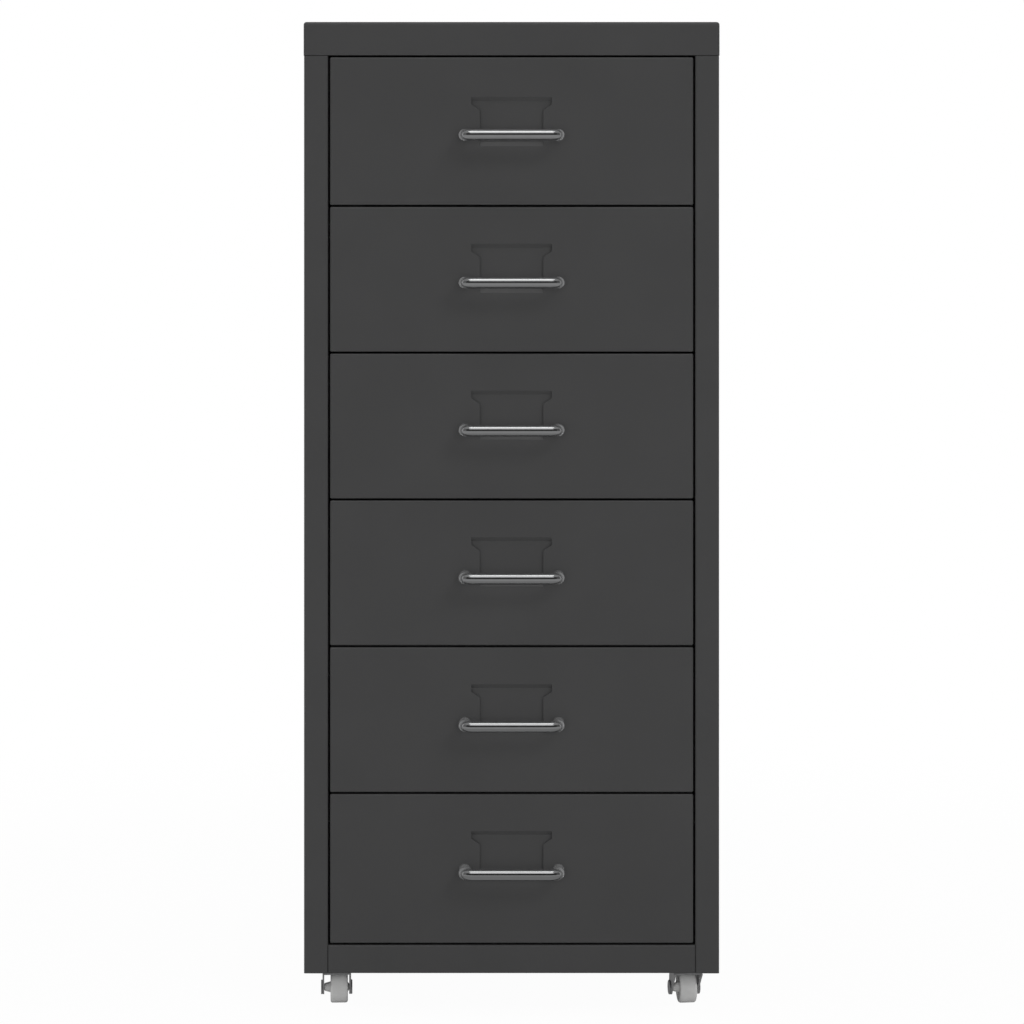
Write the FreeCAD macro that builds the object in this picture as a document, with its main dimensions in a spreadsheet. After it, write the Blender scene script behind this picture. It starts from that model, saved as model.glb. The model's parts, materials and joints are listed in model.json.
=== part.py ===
import FreeCAD, Part
import os
import re

import Sketcher

# Small metal drawer cabinet: a folded sheet carcass with six drawers on four swivel casters.
# The origin lies on the floor at the middle of the object. The front faces -Y and +X is to
# the right of someone who stands before it.

# Driving sizes in millimetres, and angles in degrees
SIZES = {
    # Whole object
    "overall_depth": 410.0,
    "cap_width": 284.0,
    # Carcass of folded sheet
    "carcass_sheet": 0.7,
    "cap_height": 22.8,
    "cap_overhang": 0.3,
    "cap_edge_radius": 2.0,
    "cap_return": 8.0,
    "seam": 0.3,
    "stile_width": 16.45,
    "rear_flange": 15.0,
    "rail_height": 19.4,
    "rail_return": 8.0,
    "rail_seam": 0.1,
    "tongue_rise": 16.0,
    # Drawer fronts: the topmost stands higher and the lowest hangs lower than the others
    "front_height": 99.0,
    "top_front_rise": 2.0,
    "bottom_front_drop": 2.8,
    "front_gap": 1.2,
    "front_depth": 11.5,
    "front_rim": 8.0,
    "drawer_sheet": 0.6,
    # Label pocket pressed into each front
    "label_drop": 25.2,
    "label_height": 33.5,
    "label_slope": 2.75,
    "label_recess": 2.0,
    "label_mouth_height": 5.2,
    "label_funnel_height": 3.9,
    "label_lip": 5.8,
    "label_clearance": 0.85,
    # Drawer trays and their lips
    "tray_lift": 6.0,
    "tray_headroom": 13.0,
    "tray_rear_room": 9.8,
    "lip_width": 4.9,
    "lip_drop": 7.0,
    "lip_gap": 0.85,
    "stop_tab_length": 2.0,
    "stop_holdback": 55.5,
    # Runners
    "runner_sheet": 0.8,
    "runner_side_gap": 1.0,
    "runner_slide_gap": 0.3,
    "runner_head_gap": 0.8,
    "runner_close_gap": 0.4,
    "upturn_height": 3.0,
    "stop_rise": 2.6,
    "stop_length": 6.0,
    "stop_pass_gap": 0.4,
    # Wire handles
    "handle_projection": 24.0,
    "handle_wire": 8.0,
    "handle_spacing": 64.0,
    "handle_bend": 6.0,
    "handle_drop": 51.6,
    "handle_tapping": 9.0,
    # Screws
    "screw_fit": 0.05,
    "handle_screw": 4.0,
    "handle_screw_head": 7.5,
    "handle_screw_head_height": 2.4,
    "handle_screw_grip": 7.0,
    "panel_screw": 3.5,
    "panel_screw_head": 7.0,
    "panel_screw_head_height": 1.4,
    "panel_screw_length": 8.0,
    "caster_screw": 4.0,
    "caster_screw_head": 7.0,
    "caster_screw_head_height": 1.8,
    "caster_screw_length": 6.0,
    "socket_width": 2.0,
    # Casters
    "wheel_diameter": 21.6,
    "wheel_width": 12.0,
    "wheel_edge_radius": 1.6,
    "wheel_rim": 2.2,
    "wheel_dish": 0.8,
    "hub_long": 4.2,
    "hub_short": 0.8,
    "hub_root_diameter": 7.7,
    "hub_tip_diameter": 5.3,
    "hub_side_gap": 0.15,
    "axle_diameter": 4.0,
    "axle_fit": 0.08,
    "axle_head_diameter": 10.0,
    "axle_head_height": 1.0,
    "fork_sheet": 1.2,
    "fork_front": 9.5,
    "fork_back": 12.5,
    "fork_end_diameter": 10.0,
    "crown_clearance": 1.3,
    "race_diameter": 18.6,
    "fork_race_height": 2.1,
    "race_gap": 0.3,
    "plate_race_height": 1.1,
    "plate_sheet": 1.5,
    "plate_size": 38.0,
    "plate_corner_radius": 3.0,
    "plate_hole_spacing": 28.0,
    "kingpin_diameter": 5.0,
    "kingpin_fit": 0.1,
    "kingpin_head_diameter": 8.0,
    "kingpin_head_height": 1.0,
    "kingpin_head_gap": 0.1,
    "caster_trail": 10.0,
    "caster_side_inset": 20.7,
    "caster_end_inset": 35.0,
    "turn_front_left": 3.0,
    "turn_front_right": 7.0,
    "turn_rear_left": -5.0,
    "turn_rear_right": 4.0,
}

DRAWERS = 6
SIDES = {"left": -1, "right": 1}
CASTERS = {
    "front_left": (-1, -1),
    "front_right": (1, -1),
    "rear_left": (-1, 1),
    "rear_right": (1, 1),
}
REAR_SCREWS_PER_SIDE = 4
EDGE_SCREWS = 3

# Places worked out from the driving sizes. Each is a formula in the words above.
PLACES = {
    # Across, from the middle
    "body_half": "cap_width / 2 - cap_overhang",
    "web_inner": "body_half - carcass_sheet",
    "opening_half": "body_half - stile_width",
    "rail_half": "opening_half - rail_seam",
    "back_half": "web_inner - seam",
    "front_half": "opening_half - front_gap",
    "lip_outer": "opening_half - lip_gap",
    "tray_half": "lip_outer - lip_width",
    "runner_inner": "tray_half + runner_side_gap",
    "handle_half": "handle_spacing / 2",
    "label_mouth_half": "handle_half - handle_screw_head / 2 - label_clearance",
    "label_half": "label_mouth_half - label_lip",
    "caster_side": "body_half - caster_side_inset",
    # From front to back
    "front_face": "handle_projection - overall_depth / 2",
    "back_face": "overall_depth / 2 - cap_overhang",
    "stile_return": "front_depth + drawer_sheet",
    "runner_front": "stile_return + runner_close_gap",
    "panel_front": "back_face - 2 * carcass_sheet",
    "inner_depth": "panel_front - front_face",
    "tray_rear": "inner_depth - tray_rear_room",
    "stop_tab": "tray_rear - stop_holdback",
    "handle_reach": "handle_projection - handle_wire / 2",
    "caster_front": "front_face + caster_end_inset",
    "caster_rear": "back_face - caster_end_inset",
    # Heights above the floor
    "axle_height": "wheel_diameter / 2",
    "crown_under": "wheel_diameter + crown_clearance",
    "crown_top": "crown_under + fork_sheet",
    "fork_race_top": "crown_top + fork_race_height",
    "plate_race_under": "fork_race_top + race_gap",
    "plate_under": "plate_race_under + plate_race_height",
    "body_bottom": "plate_under + plate_sheet",
    "rail_top": "body_bottom + rail_height",
    "drawer_pitch": "front_height + front_gap",
    "lowest_level": "rail_top + front_gap + bottom_front_drop",
    "skirt_bottom": f"lowest_level + {DRAWERS} * drawer_pitch + top_front_rise",
    "side_height": "skirt_bottom - seam - body_bottom",
    "back_height": "skirt_bottom + tongue_rise - body_bottom",
    # Heights above a drawer's level
    "tray_top": "front_height - tray_headroom",
    "ledge_top": "tray_top - lip_drop - runner_slide_gap",
    "roof_under": "tray_top + runner_head_gap",
    "stop_top": "ledge_top + upturn_height + stop_rise",
    "tab_bottom": "ledge_top + upturn_height + stop_pass_gap",
    "handle_level": "front_height - handle_drop",
    "label_top": "front_height - label_drop",
    "label_bottom": "label_top - label_height",
    # Caster fork, across from its middle
    "wheel_left": "hub_long - wheel_hub_half",
    "wheel_hub_half": "(hub_long + wheel_width + hub_short) / 2",
    "wheel_right": "wheel_left + wheel_width",
    "fork_gap_half": "wheel_hub_half + hub_side_gap",
    "fork_half": "fork_gap_half + fork_sheet",
}

WORD = re.compile(r"[a-z][a-z_]+")

document = FreeCAD.newDocument("DrawerCabinet")
sub_parts = []


def formula(text):
    """Point each named size or place in the text to its cell."""

    def cell(match):
        word = match.group()
        if word in SIZES:
            return f"Sizes.{word}"
        if word in PLACES:
            return f"Places.{word}"
        return word

    return WORD.sub(cell, text)


def fill_sheets():
    """Write the driving sizes and the places into two spreadsheets."""
    sizes = document.addObject("Spreadsheet::Sheet", "Sizes")
    for row, (name, size) in enumerate(SIZES.items(), start=1):
        sizes.set(f"A{row}", name)
        sizes.set(f"B{row}", str(size))
        sizes.setAlias(f"B{row}", name)
    places = document.addObject("Spreadsheet::Sheet", "Places")
    for row, name in enumerate(PLACES, start=1):
        places.set(f"A{row}", name)
        places.setAlias(f"B{row}", name)
    for row, text in enumerate(PLACES.values(), start=1):
        places.set(f"B{row}", "=" + formula(text).replace("Places.", ""))
    document.recompute()


def value(text):
    """Work out what a formula gives now."""
    return float(document.Sizes.evalExpression(formula(text)))


def bind(thing, prop, text):
    """Tie a property of a feature to the sheets."""
    thing.setExpression(prop, formula(text))


def new_body(name, across="0", along="0", up="0"):
    """Start a sub-part whose own origin stands at the given place."""
    body = document.addObject("PartDesign::Body", name)
    body.Label = name
    for axis, text in (("x", across), ("y", along), ("z", up)):
        if text != "0":
            bind(body, f"Placement.Base.{axis}", text)
    sub_parts.append(body)
    return body


def new_sketch(body, name, plane, lift="0"):
    """Put a sketch on one of the body's own origin planes, lifted along its normal."""
    sketch = body.newObject("Sketcher::SketchObject", f"{body.Name}_{name}")
    base = next(item for item in body.Origin.OriginFeatures if item.Role == f"{plane}_Plane")
    sketch.AttachmentSupport = (base, [""])
    sketch.MapMode = "FlatFace"
    if lift != "0":
        bind(sketch, "AttachmentOffset.Base.z", lift)
    return sketch


def pin_point(sketch, edge, end, across, up):
    """Hold one point of an edge at a place given by two formulas."""
    for kind, axis, text in (("DistanceX", -2, across), ("DistanceY", -1, up)):
        if text == "0":
            sketch.addConstraint(Sketcher.Constraint("PointOnObject", edge, end, axis))
            continue
        rule = sketch.addConstraint(Sketcher.Constraint(kind, -1, 1, edge, end, value(text)))
        bind(sketch, f"Constraints[{rule}]", text)


def add_outline(sketch, corners):
    """Close a loop of straight lines through corners, each a pair of formulas."""
    first = sketch.GeometryCount
    spots = [FreeCAD.Vector(value(across), value(up), 0) for across, up in corners]
    ends = spots[1:] + spots[:1]
    sketch.addGeometry([Part.LineSegment(a, b) for a, b in zip(spots, ends)], False)
    count = len(corners)
    joins = [(first + step, first + (step + 1) % count) for step in range(count)]
    sketch.addConstraint([Sketcher.Constraint("Coincident", a, 2, b, 1) for a, b in joins])
    for step, (across, up) in enumerate(corners):
        pin_point(sketch, first + step, 1, across, up)


def add_rectangle(sketch, left, right, low, high):
    """Draw a rectangle between two upright and two level lines."""
    add_outline(sketch, [(left, low), (right, low), (right, high), (left, high)])


def add_circle(sketch, across, up, radius):
    """Draw a circle about a point."""
    centre = FreeCAD.Vector(value(across), value(up), 0)
    edge = sketch.addGeometry(Part.Circle(centre, FreeCAD.Vector(0, 0, 1), value(radius)), False)
    pin_point(sketch, edge, 3, across, up)
    rule = sketch.addConstraint(Sketcher.Constraint("Radius", edge, value(radius)))
    bind(sketch, f"Constraints[{rule}]", radius)


def add_pad(body, sketch, length, backwards=False, midplane=False):
    """Grow a sketch into solid material."""
    pad = body.newObject("PartDesign::Pad", f"{sketch.Name}_pad")
    pad.Profile = sketch
    bind(pad, "Length", length)
    pad.Reversed = backwards
    pad.Midplane = midplane
    return pad


def add_pocket(body, sketch, depth, backwards=False, midplane=False):
    """Cut a sketch out of the solid, against the sketch's normal unless backwards."""
    pocket = body.newObject("PartDesign::Pocket", f"{sketch.Name}_pocket")
    pocket.Profile = sketch
    bind(pocket, "Length", depth)
    pocket.Reversed = backwards
    pocket.Midplane = midplane
    return pocket


def near(number, text):
    """Tell whether a coordinate lies at the place that a formula gives."""
    return abs(number - value(text)) < Part.Precision.confusion() * 100


def edges_of(feature, test):
    """Name the edges of a feature whose middle point and direction pass a test."""
    document.recompute()
    names = []
    for number, edge in enumerate(feature.Shape.Edges, start=1):
        middle = edge.valueAt((edge.FirstParameter + edge.LastParameter) / 2)
        start, end = edge.Vertexes[0].Point, edge.Vertexes[-1].Point
        if test(middle, end - start):
            names.append(f"Edge{number}")
    return names


def add_fillet(body, feature, name, radius, test):
    """Round the edges of a feature that pass a test."""
    fillet = body.newObject("PartDesign::Fillet", f"{body.Name}_{name}")
    fillet.Base = (feature, edges_of(feature, test))
    bind(fillet, "Radius", radius)
    return fillet


def spread(low, high, count):
    """Give formulas for places spread evenly between two others, both ends included."""
    last = count - 1
    return [f"({low}) + (({high}) - ({low})) * {step} / {last}" for step in range(count)]


# Where the screws go

def rear_screw_heights():
    """Heights of the screws in each side panel's rear flange, above the body's lower edge."""
    margin = "rail_height"
    return spread(f"{margin} * 2", f"side_height - {margin}", REAR_SCREWS_PER_SIDE)


def rear_screw_across(side):
    """Place of those screws across the cabinet."""
    return f"{side} * (body_half - rear_flange / 2)"


def edge_screw_across():
    """Places of the screws along the cover's rear skirt and the base pan's rear flange."""
    return spread("-back_half * 2 / 3", "back_half * 2 / 3", EDGE_SCREWS)


COVER_SCREW_RISE = "tongue_rise / 2"
BASE_SCREW_RISE = "rail_height / 2"
PANEL_HOLE = "panel_screw / 2 + screw_fit"


def plate_holes(across, along):
    """Centres of the four screws of one caster plate."""
    reach = "plate_hole_spacing / 2"
    return [
        (f"({across}) + {right} * {reach}", f"({along}) + {back} * {reach}")
        for right in (-1, 1)
        for back in (-1, 1)
    ]


def kingpin_place(corner):
    """Place of a caster's kingpin, across and along."""
    right, back = CASTERS[corner]
    along = "caster_rear" if back > 0 else "caster_front"
    return f"{right} * caster_side", along


# Carcass

def make_side_panel(name, side):
    """Folded side with the stile and its return in front and a flange behind."""
    body = new_body(f"side_panel_{name}", up="body_bottom")
    profile = new_sketch(body, "profile", "XY")
    sheet = "carcass_sheet"
    corners = [
        ("body_half", "front_face"),
        ("body_half", "back_face"),
        ("body_half - rear_flange", "back_face"),
        ("body_half - rear_flange", f"back_face - {sheet}"),
        ("web_inner", f"back_face - {sheet}"),
        ("web_inner", f"front_face + {sheet}"),
        (f"opening_half + {sheet}", f"front_face + {sheet}"),
        (f"opening_half + {sheet}", "front_face + stile_return"),
        ("opening_half", "front_face + stile_return"),
        ("opening_half", "front_face"),
    ]
    add_outline(profile, [(f"{side} * ({across})", along) for across, along in corners])
    shell = add_pad(body, profile, "side_height")

    def is_fold(middle, direction):
        across = abs(middle.x)
        outer = near(across, "body_half") or near(across, "opening_half")
        ends = near(middle.y, "front_face") or near(middle.y, "back_face")
        return outer and ends and abs(direction.z) > abs(direction.x) + abs(direction.y)

    add_fillet(body, shell, "folds", f"2 * {sheet}", is_fold)
    tongue = new_sketch(body, "tongue", "XY", "side_height - tray_headroom / 2")
    add_rectangle(
        tongue,
        f"{side} * (web_inner - {sheet})",
        f"{side} * web_inner",
        "front_face + cap_return + seam",
        "panel_front - seam",
    )
    add_pad(body, tongue, "tray_headroom / 2 + tongue_rise")
    holes = new_sketch(body, "holes", "XZ", "-back_face")
    for height in rear_screw_heights():
        add_circle(holes, rear_screw_across(side), height, PANEL_HOLE)
    add_pocket(body, holes, f"4 * {sheet}", midplane=True)


def make_top_cover():
    """Shallow tray upside down, with its front skirt turned in at the lower edge."""
    body = new_body("top_cover", up="skirt_bottom")
    half, front, back = "cap_width / 2", "front_face - cap_overhang", "overall_depth / 2"
    outline = new_sketch(body, "outline", "XY")
    add_rectangle(outline, f"-{half}", half, front, back)
    block = add_pad(body, outline, "cap_height")

    def is_outer(middle, direction):
        upright = abs(direction.z) > abs(direction.x) + abs(direction.y)
        return upright or near(middle.z, "cap_height")

    rounded = add_fillet(body, block, "edges", "cap_edge_radius", is_outer)
    document.recompute()
    open_face = next(
        f"Face{number}"
        for number, face in enumerate(rounded.Shape.Faces, start=1)
        if abs(face.BoundBox.ZMax) < Part.Precision.confusion() * 100
    )
    shell = body.newObject("PartDesign::Thickness", "top_cover_shell")
    shell.Base = (rounded, [open_face])
    bind(shell, "Value", "carcass_sheet")
    shell.Reversed = True
    turned = new_sketch(body, "turned_edge", "XY")
    inner_half = f"{half} - cap_edge_radius"
    add_rectangle(
        turned,
        f"-({inner_half})",
        inner_half,
        f"{front} + carcass_sheet / 2",
        f"{front} + cap_return",
    )
    add_pad(body, turned, "carcass_sheet")
    holes = new_sketch(body, "holes", "XZ", f"-({back})")
    for across in edge_screw_across():
        add_circle(holes, across, COVER_SCREW_RISE, PANEL_HOLE)
    add_pocket(body, holes, "4 * carcass_sheet", midplane=True)


def make_base_pan():
    """Tray at the bottom whose front flange is the rail under the lowest drawer."""
    body = new_body("base_pan", up="body_bottom")
    sheet = "carcass_sheet"
    notch = "front_face + stile_return + seam"
    rear = "panel_front - seam"
    floor = new_sketch(body, "floor", "XY")
    right_side = [
        ("rail_half", "front_face"),
        ("rail_half", notch),
        ("web_inner", notch),
        ("web_inner", rear),
        ("back_half", rear),
        ("back_half", "panel_front"),
    ]
    left_side = [(f"-{across}", along) for across, along in reversed(right_side)]
    add_outline(floor, right_side + left_side)
    for corner in CASTERS:
        across, along = kingpin_place(corner)
        for hole_across, hole_along in plate_holes(across, along):
            add_circle(floor, hole_across, hole_along, "caster_screw / 2 + screw_fit")
    add_pad(body, floor, sheet)
    walls = new_sketch(body, "walls", "XY")
    add_rectangle(walls, "-rail_half", "rail_half", "front_face", f"front_face + {sheet}")
    add_rectangle(walls, "-back_half", "back_half", f"panel_front - {sheet}", "panel_front")
    for side in SIDES.values():
        inner, outer = f"{side} * (web_inner - {sheet})", f"{side} * web_inner"
        add_rectangle(walls, inner, outer, notch, rear)
    add_pad(body, walls, "rail_height")
    ledge = new_sketch(body, "ledge", "XY", f"rail_height - {sheet}")
    add_rectangle(ledge, "-rail_half", "rail_half", "front_face", "front_face + rail_return")
    rail = add_pad(body, ledge, sheet)

    def is_rail_edge(middle, direction):
        level = near(middle.z, "rail_height") or near(middle.z, "0")
        return near(middle.y, "front_face") and level

    add_fillet(body, rail, "rail_edges", f"2 * {sheet}", is_rail_edge)
    holes = new_sketch(body, "holes", "XZ", "-panel_front")
    for across in edge_screw_across():
        add_circle(holes, across, BASE_SCREW_RISE, PANEL_HOLE)
    add_pocket(body, holes, f"4 * {sheet}", midplane=True)


def make_back_panel():
    """Flat sheet that closes the back, behind the base pan and before the rear flanges."""
    body = new_body("back_panel", along="panel_front", up="body_bottom")
    sheet = new_sketch(body, "sheet", "XZ")
    add_rectangle(sheet, "-back_half", "back_half", "0", "back_height")
    for side in SIDES.values():
        for height in rear_screw_heights():
            add_circle(sheet, rear_screw_across(side), height, PANEL_HOLE)
    for across in edge_screw_across():
        add_circle(sheet, across, BASE_SCREW_RISE, PANEL_HOLE)
        add_circle(sheet, across, f"skirt_bottom - body_bottom + {COVER_SCREW_RISE}", PANEL_HOLE)
    add_pad(body, sheet, "carcass_sheet", backwards=True)


def drawer_level(number):
    """Height from which a drawer is measured, its front's lower edge in all but the lowest.

    Drawer 1 is the top one.
    """
    return f"lowest_level + {DRAWERS - number} * drawer_pitch"


def make_runner(name, side, number):
    """Channel on the side panel, open to the drawer, with an upturned edge and a stop."""
    body = new_body(
        f"runner_{name}_{number}", along="front_face", up=drawer_level(number)
    )
    sheet = "runner_sheet"
    section = new_sketch(body, "section", "XZ", "-runner_front")
    corners = [
        ("runner_inner", f"ledge_top - {sheet}"),
        ("web_inner", f"ledge_top - {sheet}"),
        ("web_inner", f"roof_under + {sheet}"),
        (f"runner_inner + {sheet}", f"roof_under + {sheet}"),
        (f"runner_inner + {sheet}", "roof_under"),
        (f"web_inner - {sheet}", "roof_under"),
        (f"web_inner - {sheet}", "ledge_top"),
        (f"runner_inner + {sheet}", "ledge_top"),
        (f"runner_inner + {sheet}", "ledge_top + upturn_height"),
        ("runner_inner", "ledge_top + upturn_height"),
    ]
    add_outline(section, [(f"{side} * ({across})", up) for across, up in corners])
    add_pad(body, section, "inner_depth - seam - runner_front", backwards=True)
    stop = new_sketch(body, "stop", "XZ", "-runner_front")
    inner, outer = f"{side} * runner_inner", f"{side} * (runner_inner + {sheet})"
    add_rectangle(stop, inner, outer, "ledge_top", "stop_top")
    add_pad(body, stop, "stop_length", backwards=True)


# Drawers

def make_drawer_front(number):
    """Folded pan with a rim behind and a label pocket pressed into its face."""
    body = new_body(
        f"drawer_front_{number}", along="front_face", up=drawer_level(number)
    )
    sheet = "drawer_sheet"
    low = "-bottom_front_drop" if number == DRAWERS else "0"
    high = "front_height + top_front_rise" if number == 1 else "front_height"
    face = new_sketch(body, "face", "XZ")
    add_rectangle(face, "-front_half", "front_half", low, high)
    block = add_pad(body, face, "front_depth", backwards=True)

    def is_outer(middle, direction):
        fore_and_aft = abs(direction.y) > abs(direction.x) + abs(direction.z)
        return fore_and_aft or near(middle.y, "0")

    add_fillet(body, block, "folds", f"2 * {sheet}", is_outer)
    for name, inset, start, depth in (
        ("rim", "front_rim", "front_depth", f"front_depth - {sheet}"),
        ("cavity", sheet, f"front_depth - {sheet}", f"front_depth - 2 * {sheet}"),
    ):
        sketch = new_sketch(body, name, "XZ", f"-({start})")
        across = f"front_half - {inset}"
        add_rectangle(sketch, f"-({across})", across, f"{low} + {inset}", f"{high} - {inset}")
        add_pocket(body, sketch, depth, backwards=True)
    window = new_sketch(body, "window", "XZ")
    mouth_low = "label_top - label_mouth_height"
    funnel_low = f"{mouth_low} - label_funnel_height"
    right_side = [
        ("label_half", "label_bottom"),
        ("label_half", funnel_low),
        ("label_mouth_half", mouth_low),
        ("label_mouth_half", "label_top"),
    ]
    left_side = [(f"-{across}", up) for across, up in reversed(right_side)]
    add_outline(window, right_side + left_side)
    add_pocket(body, window, f"2 * {sheet}", midplane=True)
    floor = new_sketch(body, "label_floor", "YZ")
    add_outline(
        floor,
        [
            ("0", "label_top"),
            ("label_recess", "label_top - label_slope"),
            ("label_recess", "label_bottom + label_slope"),
            ("0", "label_bottom"),
            (sheet, f"label_bottom - {sheet}"),
            (f"label_recess + {sheet}", f"label_bottom + label_slope - {sheet}"),
            (f"label_recess + {sheet}", f"label_top - label_slope + {sheet}"),
            (sheet, f"label_top + {sheet}"),
        ],
    )
    add_pad(body, floor, "2 * label_mouth_half + label_clearance", midplane=True)
    holes = new_sketch(body, "handle_holes", "XZ")
    for side in SIDES.values():
        radius = "handle_screw / 2 + screw_fit"
        add_circle(holes, f"{side} * handle_half", "handle_level", radius)
    add_pocket(body, holes, f"4 * {sheet}", midplane=True)


def make_drawer_tray(number):
    """Open tray whose side edges turn out and down into the runners."""
    body = new_body(
        f"drawer_tray_{number}", along="front_face", up=drawer_level(number)
    )
    sheet = "drawer_sheet"
    footprint = new_sketch(body, "footprint", "XY", "tray_lift")
    add_rectangle(footprint, "-tray_half", "tray_half", "front_depth", "tray_rear")
    block = add_pad(body, footprint, "tray_top - tray_lift")

    def is_fold(middle, direction):
        low = near(middle.z, "tray_lift") and not near(middle.y, "front_depth")
        upright = abs(direction.z) > abs(direction.x) + abs(direction.y)
        return low or (upright and near(middle.y, "tray_rear"))

    add_fillet(body, block, "folds", f"2 * {sheet}", is_fold)
    inside = new_sketch(body, "inside", "XY", "tray_top")
    inner = f"tray_half - {sheet}"
    add_rectangle(inside, f"-({inner})", inner, "0", f"tray_rear - {sheet}")
    add_pocket(body, inside, f"tray_top - tray_lift - {sheet}")
    lips = new_sketch(body, "lips", "XZ", "-front_depth")
    tabs = new_sketch(body, "stop_tabs", "XZ", "-stop_tab")
    section = [
        (f"tray_half - {sheet}", "tray_top"),
        (f"tray_half - {sheet}", f"tray_top - {sheet}"),
        (f"lip_outer - {sheet}", f"tray_top - {sheet}"),
        (f"lip_outer - {sheet}", "tray_top - lip_drop"),
        ("lip_outer", "tray_top - lip_drop"),
        ("lip_outer", "tray_top"),
    ]
    for side in SIDES.values():
        add_outline(lips, [(f"{side} * ({across})", up) for across, up in section])
        add_rectangle(
            tabs,
            f"{side} * (tray_half - {sheet} / 2)",
            f"{side} * (lip_outer - {sheet} / 2)",
            "tab_bottom",
            f"tray_top - {sheet} / 2",
        )
    add_pad(body, lips, "tray_rear - 2 * drawer_sheet - front_depth", backwards=True)
    add_pad(body, tabs, "stop_tab_length", backwards=True)
    flange = new_sketch(body, "front_flange", "XZ", "-front_depth")
    outer = f"front_half - {sheet}"
    right_side = [
        (outer, sheet),
        (outer, "tray_top"),
        (inner, "tray_top"),
        (inner, f"tray_lift + {sheet}"),
    ]
    left_side = [(f"-({across})", up) for across, up in reversed(right_side)]
    add_outline(flange, right_side + left_side)
    add_pad(body, flange, sheet, backwards=True)


def make_handle(number):
    """Wire bent to a U, with a tapped hole in each end."""
    body = new_body(
        f"handle_{number}", along="front_face", up=f"{drawer_level(number)} + handle_level"
    )
    path = new_sketch(body, "path", "XY")
    legs = "handle_bend - handle_reach"
    bar = "handle_half - handle_bend"
    spots = [
        ("-handle_half", "0"),
        ("-handle_half", legs),
        (f"-({bar})", "-handle_reach"),
        (bar, "-handle_reach"),
        ("handle_half", legs),
        ("handle_half", "0"),
    ]
    points = [FreeCAD.Vector(value(across), value(along), 0) for across, along in spots]
    lines = [Part.LineSegment(points[start], points[start + 1]) for start in (0, 2, 4)]
    path.addGeometry(lines, False)
    for edge, start in enumerate((0, 2, 4)):
        pin_point(path, edge, 1, *spots[start])
        pin_point(path, edge, 2, *spots[start + 1])
    share = 0.5 ** 0.5
    for edge, side in ((0, -1), (1, 1)):
        heart = FreeCAD.Vector(side * value(bar), value(legs), 0)
        corner = heart + FreeCAD.Vector(side * share, -share, 0) * value("handle_bend")
        start, end = points[2 * edge + 1], points[2 * edge + 2]
        arc = path.addGeometry(Part.Arc(start, corner, end), False)
        path.addConstraint(Sketcher.Constraint("Coincident", arc, 1, edge, 2))
        path.addConstraint(Sketcher.Constraint("Coincident", arc, 2, edge + 1, 1))
        rule = path.addConstraint(Sketcher.Constraint("Radius", arc, value("handle_bend")))
        bind(path, f"Constraints[{rule}]", "handle_bend")
    ring = new_sketch(body, "wire", "XZ")
    add_circle(ring, "-handle_half", "0", "handle_wire / 2")
    wire = body.newObject("PartDesign::AdditivePipe", f"{body.Name}_wire_pipe")
    wire.Profile = ring
    wire.Spine = path
    holes = new_sketch(body, "tapping", "XZ")
    for side in SIDES.values():
        add_circle(holes, f"{side} * handle_half", "0", "handle_screw / 2 + screw_fit")
    add_pocket(body, holes, "handle_tapping", backwards=True)


def make_handle_screws(number):
    """Two screws that reach from inside the drawer's front into the handle's ends."""
    body = new_body(
        f"handle_screws_{number}",
        along="front_face",
        up=f"{drawer_level(number)} + handle_level",
    )
    shanks = new_sketch(body, "shanks", "XZ", "-drawer_sheet")
    heads = new_sketch(body, "heads", "XZ", "-drawer_sheet")
    sockets = new_sketch(body, "sockets", "XZ", "-(drawer_sheet + handle_screw_head_height)")
    for side in SIDES.values():
        place = f"{side} * handle_half"
        add_circle(shanks, place, "0", "handle_screw / 2")
        add_circle(heads, place, "0", "handle_screw_head / 2")
        add_circle(sockets, place, "0", "socket_width / 2")
    add_pad(body, heads, "handle_screw_head_height", backwards=True)
    add_pad(body, shanks, "drawer_sheet + handle_screw_grip")
    add_pocket(body, sockets, "handle_screw_head_height / 2", backwards=True)


# Fasteners of the carcass

def make_panel_screws():
    """Screws of the rear flanges, the cover's rear skirt and the base pan, from behind."""
    body = new_body("panel_screws")
    rows = {
        "flange": (
            "back_face",
            [
                (rear_screw_across(side), f"body_bottom + {height}")
                for side in SIDES.values()
                for height in rear_screw_heights()
            ],
        ),
        "cover": (
            "overall_depth / 2",
            [(across, f"skirt_bottom + {COVER_SCREW_RISE}") for across in edge_screw_across()],
        ),
        "base": (
            "panel_front + carcass_sheet",
            [(across, f"body_bottom + {BASE_SCREW_RISE}") for across in edge_screw_across()],
        ),
    }
    for name, (seat, spots) in rows.items():
        heads = new_sketch(body, f"{name}_heads", "XZ", f"-({seat})")
        shanks = new_sketch(body, f"{name}_shanks", "XZ", f"-({seat})")
        head_top = f"-({seat} + panel_screw_head_height)"
        sockets = new_sketch(body, f"{name}_sockets", "XZ", head_top)
        for across, up in spots:
            add_circle(heads, across, up, "panel_screw_head / 2")
            add_circle(shanks, across, up, "panel_screw / 2")
            add_circle(sockets, across, up, "socket_width / 2")
        add_pad(body, heads, "panel_screw_head_height", backwards=True)
        add_pad(body, shanks, "panel_screw_length")
        add_pocket(body, sockets, "panel_screw_head_height / 2", backwards=True)


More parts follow.
